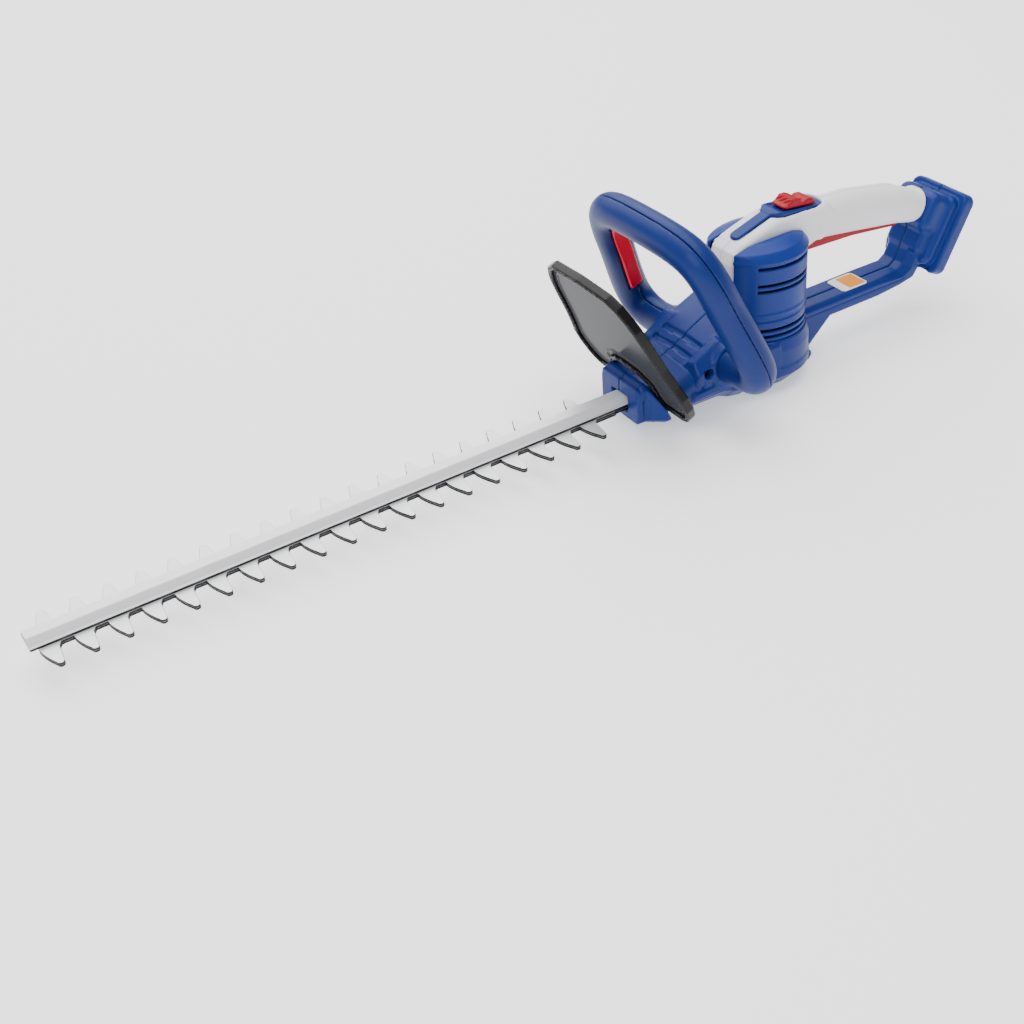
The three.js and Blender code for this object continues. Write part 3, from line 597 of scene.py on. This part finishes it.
both("casing", casing, (0, -52, -25), (404, 52, 109), GRID, BLUE, "casing_blue")

# --------------------------------------------------------------------- handle

SPINE_OUTLINE = [
    (114.6, 69), (114.6, 108), (118, 118), (128, 125), (150, 132), (168, 137.5), (226, 135), (236, 120),
    (222, 104), (206, 98), (206, 87), (150, 87), (150, 69),
]
GRIP_X = [222, 268, 320, 349.5]
GRIP_Z = [116, 111, 101.5, 91]
GRIP_HALF_Y = [18, 20, 20, 19]
GRIP_HALF_Z = [19, 20.5, 19.5, 16.5]
INLAY = [(128, 124.4), (170, 136.2), (171, 140), (166, 139), (129, 127.4)]
PANEL = [(166, 134.6), (228, 131.4), (228, 134.6), (172, 141.6), (166, 139)]
HANDLE_SCREWS = ((214, 122, 16), (290, 110, 18.5))


def grip(x, ay, z, shrink=0):
    out, _ = dock_axes(x, z)
    lifted = z - along(x, GRIP_X, GRIP_Z)
    a = along(x, GRIP_X, GRIP_HALF_Y) - shrink
    b = along(x, GRIP_X, GRIP_HALF_Z) - shrink
    section = (((ay / a) ** 2.2 + (np.abs(lifted) / b) ** 2.2) ** (1 / 2.2) - 1) * 17
    return smax(smax(section, 222 - x, 2), out + 45.5 - shrink, 2)


def spine(x, ay, z):
    return rounded(polygon(x, z, SPINE_OUTLINE), ay - SPINE, 4.5)


def handle(x, y, z):
    ay = np.abs(y)
    r = np.hypot(x - MOTOR_X, y)
    outer = smin(spine(x, ay, z), grip(x, ay, z), 10)
    outer = outer + 0.7 * band(x + 0.25 * (z - 120), 236.5, 237.9)
    inner = np.maximum(np.minimum(outer + 2.6, grip(x, ay, z, 2.6)), np.maximum(170 - x, z - 128.5))
    motor_room = np.minimum(np.maximum(r - 41, z - 113), block(x, y, z, (118, -40, 60), (130, 40, 100), 0.5))
    body = smax(outer, -np.minimum(inner, motor_room), 0.6)
    body = add_posts(body, x, y, z, HANDLE_SCREWS, HANDLE_POST_R)
    slot = np.maximum(polygon(x, z, [(206.3, 80), (332, 70), (332, 94), (272, 104), (206.3, 107)]), ay - 6.8)
    slider_room = block(x, y, z, (178, -6, 125), (222, 6, 150), 0.2)
    seat = np.maximum(polygon(x, z, INLAY) - 0.3, ay - 7.3)
    panel_plan = rounded(np.abs(x - 197) - 30.8, ay - 14.3, 11.3)
    panel_floor = along(x, [166, 228], [134.3, 131.1])
    seat = np.minimum(seat, np.maximum(panel_floor - z, panel_plan))
    seat = np.minimum(seat, block(x, ay, z, (126, -7.3, 128), (170, 7.3, 160), 0.1))
    pivot = np.maximum(ring_y(x, z, *TRIGGER_PIVOT, 2.1), ay - 12)
    pivot = np.minimum(pivot, np.maximum(ring_y(x, z, *TRIGGER_PIVOT, 4.4), np.abs(y - 6.2) - 6.2))
    for cut in (slot, slider_room, seat, pivot):
        body = smax(body, -cut, 0.5)
    body = cut_screws(body, x, y, z, HANDLE_SCREWS)
    for level in FRONT_VENT_LEVELS:
        vent = block(x, ay, z, (108, -11, level), (119, 11, level + 2.6), 0.4)
        body = smax(body, -vent, 0.4)
    return body


both("handle_shell", handle, (114, -22, 68), (362, 22, 139), GRID * 0.85, GREY, "handle_grey")


def lock_panel(x, y, z):
    ay = np.abs(y)
    end = np.hypot(np.maximum(134.5 - x, 0), ay) - 6.6
    strip = rounded(smax(polygon(x, z, INLAY), end, 1), ay - 6.6, 1.2)
    plan = rounded(np.abs(x - 197) - 30.5, ay - 14, 11)
    raised = rounded(smax(polygon(x, z, PANEL), plan, 0.5), plan, 1.4)
    dish = block(x, ay, z + 0.115 * (x - 172), (176, -11.4, 140.2), (224, 11.4, 160), 2)
    raised = smax(raised, -dish, 0.8)
    slot = block(x, y, z, (182, -4.4, 120), (216, 4.4, 160), 0.3)
    return smax(smin(strip, raised, 2), -slot, 0.4)


mould("lock_panel_look", lock_panel, (126, -15, 122), (230, 15, 143), FINE, BLUE, "machine",
      ["lock_panel"], "casing_blue")


def lock_slider(x, y, z):
    ay = np.abs(y)
    base = z + 0.123 * (x - 181)
    humps = 143.5 + 5.6 * np.exp(-(((x - 194) / 7.2) ** 4)) + 3.4 * np.exp(-(((x - 210.5) / 6.0) ** 4))
    plan = rounded(np.abs(x - 200) - 19.4, ay - 10, 4)
    ridge = 0.55 * np.sin((x * 0.80 + y * 0.55) * 2 * math.pi / 3.3) * band(x, 186, 202, 2)
    body = smax(smax(plan, base - humps + ridge, 2), 140.9 - base, 1)
    tongue = block(x, y, z, (194, -3.8, 127), (206, 3.8, 143), 0.5)
    return smin(body, tongue, 0.5)


mould("lock_off_slider_look", lock_slider, (179, -11, 126), (221, 11, 152), FINE * 0.7, DEEP_RED,
      "lock_slider", ["lock_off_slider"], "control_red")

TRIGGER = [(208, 88.4), (270, 85.3), (327, 78), (327, 89), (270, 97), (228, 99.5), (208, 97)]


def rear_trigger(x, y, z):
    body = rounded(polygon(x, z, TRIGGER), np.abs(y) - 6, 1.0)
    return smax(body, -(ring_y(x, z, *TRIGGER_PIVOT, 2.15) + 0 * y), 0.4)


mould("rear_trigger_look", rear_trigger, (207, -7, 77), (328, 7, 101), FINE, DEEP_RED, "trigger",
      ["rear_trigger"], "control_red")

# --------------------------------------------------------------- motor covers


def covers(x, y, z):
    ay = np.abs(y)
    r = motor_radius(x, y)
    ribs = 0.9 * band(z, 57.5, 60.5, 1.2) - 0.9 * band(z, 52, 57, 0.8) + 0.8 * band(z, 111, 113.5, 0.8)
    ahead = np.maximum(MOTOR_X - x, 0)
    crown = np.hypot(np.where(x < MOTOR_X, ahead / 1.35, x - MOTOR_X), y)
    shoulder = np.maximum((crown - 44) * 0.81 + (z - 113) * 0.58, (crown - 39) * 0.37 + (z - 120) * 0.93)
    outer = smax(r - HOUSING_R - ribs, smax(shoulder, z - COVER_TOP, 1), 0.8)
    body = smax(outer, -(outer + WALL), 0.6)
    for level in VENT_LEVELS:
        slot = rounded(np.abs(z - level - 1.5) - 1.5, np.abs(x - 163.5) - 32.5, 1.4)
        body = smax(body, -smax(slot, 26 - ay, 0.5), 0.5)
    edge = chamfer(body, SPINE + 0.3 - ay, 1.2)
    return smax(edge, BOWL_TOP + 0.3 - z, 0.8)


for side, sign in (("left", -1), ("right", 1)):
    inner, outer = sorted((sign * 16, sign * 46))
    mould(f"vent_cover_{side}_look", covers, (109, inner, 30), (206, outer, 125), GRID * 0.8, COVER,
          "machine", [f"vent_cover_{side}"], "cover_blue")

# ----------------------------------------------------------------- front loop

LOOP_POINTS = [
    (LOOP_FOOT, FOOT_Z), (64, FOOT_Z), (81, 33.5), (91, 43.5), (93.2, 58), (89, 82), (82, 110), (77, 135),
    (67, 155), (46, 165), (0, 167.5),
]


def smooth_line(points, pieces):
    """Catmull-Rom curve through the points, which carries on mirrored past the middle plane."""
    p = np.array(points, float)
    mirror = p[-2] * (-1, 1)
    p = np.vstack([2 * p[0] - p[1], p, mirror])
    t = np.linspace(0, 1, pieces, endpoint=False)[:, None]
    runs = []
    for a, b, c, d in zip(p, p[1:], p[2:], p[3:]):
        runs.append(0.5 * (2 * b + (c - a) * t + (2 * a - 5 * b + 4 * c - d) * t ** 2
                           + (3 * b - a - 3 * c + d) * t ** 3))
    return np.vstack([*runs, p[-2:-1]])


LOOP_LINE = smooth_line([(y, z / math.cos(LOOP_LEAN)) for y, z in LOOP_POINTS], 5)


def loop_distance(ay, up):
    """Distance to the loop's centreline in its plane, and which side of it: negative is inside the loop."""
    best = 1e12
    side = 0.0
    for (pa, pb), (qa, qb) in zip(LOOP_LINE, LOOP_LINE[1:]):
        ea, eb = qa - pa, qb - pb
        wa, wb = ay - pa, up - pb
        t = np.clip((wa * ea + wb * eb) / (ea * ea + eb * eb), 0, 1)
        d = (wa - ea * t) ** 2 + (wb - eb * t) ** 2
        closer = d < best
        best = np.where(closer, d, best)
        side = np.where(closer, np.sign(ea * wb - eb * wa), side)
    return -side * np.sqrt(best)


MOUTH_START = 72


def loop_shell(y, up, across, front):
    ay = np.abs(y)
    d = loop_distance(ay, up)
    radius = np.hypot(d, across)
    swell = 3.5 * np.clip((66 - ay) / 20, 0, 1) * (up < 80)
    outer = radius - LOOP_R - swell * 0.5
    body = smax(outer, -(radius - LOOP_BORE), 0.5)
    mouth = np.maximum(np.abs(across) - 8, d + 6.5)
    mouth = np.maximum(mouth, MOUTH_START - 1 - up)
    body = smax(body, -mouth, 0.8)
    body = smax(body, LOOP_FOOT + 0.3 - ay - 1000 * (up > 100), 1.0)
    cut = across + HALF_GAP if front else HALF_GAP - across
    return smax(body, cut, 0.7)


for name, front in (("loop_front_shell", True), ("loop_rear_shell", False)):
    mould(name + "_look", lambda y, up, across: loop_shell(y, up, across, front),
          (-114, 10, -19 if front else 0), (114, 204, 0 if front else 19), GRID * 0.9, LOOP, "machine",
          [name], "loop_blue", from_loop)


def switch_bar(y, up, across):
    d = loop_distance(np.abs(y), up)
    face = rounded(np.abs(across) - 7.2, -d - LOOP_R - 1.2, 2)
    return smax(smax(face, d + 10.5, 0.5), MOUTH_START - up, 1.5)


mould("front_switch_bar_look", switch_bar, (-80, 70, -8), (80, 196, 8), FINE * 1.2, RED, "switch_bar",
      ["front_switch_bar"], "control_red", from_loop)

# ---------------------------------------------------------------------- guard

GUARD_HALF = [
    (0, 38), (16, 37), (28, 30), (30, 5), (63, 5), (73, 9), (79, 16), (83.5, 27), (84, 40), (79.5, 52),
    (74, 70), (70.5, 90), (68.5, 100), (65.5, 112), (61, 121.5), (53, 133), (41, 140), (0, 142.5),
]
GUARD_SHAPE = [(y, z / math.cos(GUARD_LEAN)) for y, z in GUARD_HALF]
GUARD_SHAPE = GUARD_SHAPE + [(-y, z) for y, z in reversed(GUARD_SHAPE) if y]


def guard_rim(y, up, across):
    d = polygon(y, up, GUARD_SHAPE)
    rim = rounded(d, np.abs(across) - GUARD_DEPTH / 2, 1.6)
    rim = smax(rim, -(d + 5.5), 1.2)
    line = 1.6 * band(-d, 1.6, 2.9, 0.5) + 0.9 * band(-d, 4.2, 5.0, 0.4)
    rim = rim + line * (across < 0)
    groove = np.maximum(np.abs(across) - 1.6, d + 2.5)
    return smax(rim, -groove, 0.4)


def guard_pane(y, up, across):
    d = polygon(y, up, GUARD_SHAPE)
    border = 0.8 * band(-d, 9.0, 11.5, 0.8) * (across < 0)
    return rounded(d + 3, np.abs(across) - 1.3 - border, 0.5)


mould("guard_frame_look", guard_rim, (-88, 2, -5), (88, 161, 5), FINE, RIM, "machine",
      ["guard_frame"], "guard_black", from_guard)
mould("guard_pane_look", guard_pane, (-86, 3, -3), (86, 160, 3), FINE * 0.9, SMOKE, "machine",
      ["guard_pane"], "guard_smoke", from_guard)

# --------------------------------------------------------------------- blades


def prism(outline, low, high, bevel, holes=()):
    """Flat plate with bevelled edges: outline and holes in x, y, from low to high."""
    mesh = bmesh.new()
    loops = []
    for points in (outline, *holes):
        verts = [mesh.verts.new((x, y, low)) for x, y in points]
        loops += [mesh.edges.new((a, b)) for a, b in zip(verts, verts[1:] + verts[:1])]
    bmesh.ops.triangle_fill(mesh, edges=loops, use_beauty=True)
    bmesh.ops.dissolve_limit(mesh, angle_limit=0.01, verts=mesh.verts, edges=mesh.edges)
    bmesh.ops.recalc_face_normals(mesh, faces=mesh.faces)
    if mesh.faces[0].normal.z > 0:
        bmesh.ops.reverse_faces(mesh, faces=mesh.faces)
    raised = bmesh.ops.extrude_face_region(mesh, geom=mesh.faces[:])
    for vert in [g for g in raised["geom"] if isinstance(g, bmesh.types.BMVert)]:
        vert.co.z = high
    bmesh.ops.recalc_face_normals(mesh, faces=mesh.faces)
    edges = [e for e in mesh.edges if len(e.link_faces) == 2 and e.calc_face_angle(0) > 0.9
             and abs(e.verts[0].co.z - e.verts[1].co.z) < 0.01]
    if bevel:
        bmesh.ops.bevel(mesh, geom=edges, offset=bevel, segments=1, affect="EDGES", clamp_overlap=True)
    return mesh


def piece_from(mesh, name, material, shade_or_print, steep, body, nodes, turn=None):
    """A piece from a bmesh, with a second material on faces whose upward share is under steep: a painted
    shade on the steep faces of the blades and the rail; the label gives its yellow print here and sets its
    faces itself.
    """
    if turn is not None:
        bmesh.ops.transform(mesh, matrix=turn, verts=mesh.verts)
    mesh.verts.index_update()
    points = np.array([v.co for v in mesh.verts])
    faces = [[v.index for v in f.verts] for f in mesh.faces]
    obj = add_piece(name, points, faces, material, body, nodes, smooth=False)
    obj.data.materials.append(shade_or_print)
    for face in obj.data.polygons:
        # Painted shade: faces steeper than steep get the second material, which is dark on the blades and the
        # rail.
        face.material_index = int(abs(face.normal.z) < steep)
    mesh.free()
    return obj


def tooth_line(shift):
    """One edge of a blade, from the first tooth to the last, as distance along and half width."""
    points = []
    for i in range(TEETH):
        tip = FIRST_TOOTH + shift + PITCH * i
        root = tip - TOOTH_LEAN
        points.append((root, TOOTH_ROOT))
        for step in range(1, 5):
            t = step / 5
            reach = TOOTH_ROOT + (TOOTH_REACH - 4 - TOOTH_ROOT) * t
            points.append((root + TOOTH_LEAN * t ** 1.6 * 0.86, reach))
        for turn in range(7):
            angle = math.pi * (1 - turn / 6)
            points.append((tip + 2.6 + 3.1 * math.cos(angle), TOOTH_REACH - 3 + 3 * math.sin(angle)))
        rear = root + TOOTH_BASE
        points += [(rear - 0.9, 22), (rear, TOOTH_ROOT + 4), (rear + 3, TOOTH_ROOT)]
    return points


def slotted(x, half_length, radius):
    points = []
    for i in range(9):
        angle = math.pi / 2 + math.pi * i / 8
        points.append((x - half_length + radius * (1 + math.cos(angle)), radius * math.sin(angle)))
    return points + [(2 * x - a, -b) for a, b in points]


def blade(name, low):
    near = [(x, -y) for x, y in tooth_line(0)]
    far = tooth_line(STAGGER)[::-1]
    front, rear, half = CRANK_X - 20, CRANK_X + 20, 27
    outline = near + [
        (-14, -TOOTH_ROOT), (-10, -TANG), (front, -TANG), (front, -half), (rear, -half),
        (rear, half), (front, half), (front, TANG), (-10, TANG), (-14, TOOTH_ROOT),
    ] + far
    play = ECCENTRIC_R + 1.9
    travel = ECCENTRIC_R + STROKE + 0.6
    yoke = [
        (CRANK_X - play, -travel), (CRANK_X + play, -travel),
        (CRANK_X + play, travel), (CRANK_X - play, travel),
    ]
    slots = [slotted(x, STROKE + BOLT_R + 0.9, BOLT_R + 0.4) for x in BOLTS]
    mesh = prism(outline, low, low + BLADE, 0.35, [*slots, yoke])
    # The blade's steep faces and bevels get the painted shade.
    return piece_from(mesh, name + "_look", BLADE_STEEL, EDGE_SHADE, 0.9, name, [name])


blade("upper_blade", HALF_GAP)
blade("lower_blade", -HALF_GAP - BLADE)


def rail():
    foot = BLADE + 0.65
    side = [
        (RAIL_HALF, foot), (RAIL_HALF, foot + 2.2), (9.6, foot + 3.4), (6.4, RAIL_TOP - 0.8), (5.6, RAIL_TOP),
    ]
    outline = [(-RAIL_HALF, foot)] + side + [(-y, z) for y, z in reversed(side[1:])]
    channel = [(-6.2, foot + 1.8), (6.2, foot + 1.8), (3.6, RAIL_TOP - 1.6), (-3.6, RAIL_TOP - 1.6)]
    mesh = prism(outline, RAIL_FRONT, RAIL_REAR, 0.3, [channel])
    turn = Matrix(((0, 0, 1, 0), (1, 0, 0, 0), (0, 1, 0, 0), (0, 0, 0, 1)))
    # The rail's upright faces get the near-black painted shade in place of aluminium.
    return piece_from(mesh, "blade_rail_look", ALUMINIUM, EDGE_SHADE, 0.2, "machine", ["blade_rail"],
                      turn)


rail()


def label():
    """A blank label: a white plate with a plain yellow field on its rear part."""
    top = 32.62
    corner = 2.5
    plate = [
        (257 + corner, -13), (288 - corner, -13), (288, -13 + corner), (288, 13 - corner),
        (288 - corner, 13), (257 + corner, 13), (257, 13 - corner), (257, -13 + corner),
    ]
    mesh = prism(plate, 32.05, top, 0)
    field = prism([(266.5, -11), (286.5, -11), (286.5, 11), (266.5, 11)], top - 0.1, top + 0.06, 0)
    patch = bpy.data.meshes.new("label_field")
    field.to_mesh(patch)
    field.free()
    mesh.from_mesh(patch)
    bpy.data.meshes.remove(patch)
    obj = piece_from(mesh, "label_plate_look", LABEL, YELLOW, 0, "machine", ["label_plate"])
    level = (top + SHIFT_Z) / 1000
    for face in obj.data.polygons:
        face.material_index = int(face.center.z > level)


label()

# ------------------------------------------------------------ carried-over CAD

FINISHES = {
    "steel": STEEL, "black_plastic": BLACK, "cast_aluminium": CAST, "contact_brass": BRASS,
    "board_green": BOARD, "label_white": LABEL,
}
for part in frame["record"]["subparts"]:
    node = frame["nodes"][part["node"]]
    if part["material_slot"] in FINISHES:
        node.data.materials.clear()
        node.data.materials.append(FINISHES[part["material_slot"]])

# ---------------------------------------------------------- floor, light, view


def floor():
    mesh = bmesh.new()
    bmesh.ops.create_grid(mesh, x_segments=1, y_segments=1, size=30)
    data = bpy.data.meshes.new("floor")
    mesh.to_mesh(data)
    mesh.free()
    obj = bpy.data.objects.new("floor", data)
    obj.location.z = -0.0005
    bpy.context.scene.collection.objects.link(obj)
    material, shader = new_material("floor_white", (0.95, 0.95, 0.95), 0.7, specular=0.1)
    socket(shader, "Emission Color", (1, 1, 1, 1))
    socket(shader, "Emission Strength", 0.6)
    data.materials.append(material)


def area_light(name, location, target, size, power):
    light = bpy.data.lights.new(name, "AREA")
    light.shape = "RECTANGLE"
    light.size, light.size_y = size
    light.energy = power
    obj = bpy.data.objects.new(name, light)
    obj.location = location
    obj.rotation_euler = (Vector(target) - Vector(location)).to_track_quat("-Z", "Y").to_euler()
    bpy.context.scene.collection.objects.link(obj)


def world(strength):
    scene_world = bpy.data.worlds.new("studio")
    scene_world.use_nodes = True
    background = scene_world.node_tree.nodes["Background"]
    socket(background, "Color", (1, 1, 1, 1))
    socket(background, "Strength", strength)
    bpy.context.scene.world = scene_world


def camera():
    azimuth, elevation, roll = (math.radians(a) for a in (-28.94, 36.18, -5.20))
    right_axis = Vector((math.cos(azimuth), math.sin(azimuth), 0))
    forward = Vector((-math.sin(azimuth) * math.cos(elevation), math.cos(azimuth) * math.cos(elevation),
                      -math.sin(elevation)))
    up_axis = right_axis.cross(forward)
    turned_right = math.cos(roll) * right_axis + math.sin(roll) * up_axis
    turned_up = -math.sin(roll) * right_axis + math.cos(roll) * up_axis
    data = bpy.data.cameras.new("camera")
    data.sensor_width = 36
    data.lens = 53.65
    data.clip_end = 50
    obj = bpy.data.objects.new("camera", data)
    rotation = Matrix((turned_right, turned_up, -forward)).transposed().to_4x4()
    obj.matrix_world = Matrix.Translation((-0.5884, -0.9864, 0.7804)) @ rotation
    bpy.context.scene.collection.objects.link(obj)
    bpy.context.scene.camera = obj


floor()
world(0.38)
area_light("top", (0.2, 0.3, 3.0), (0, 0, 0), (3.4, 3.0), 130)
area_light("back", (0.4, 2.4, 1.9), (0, 0, 0.1), (4.0, 1.8), 75)
area_light("key", (-1.5, -1.3, 1.7), (0.1, 0, 0.08), (1.2, 1.2), 26)
camera()
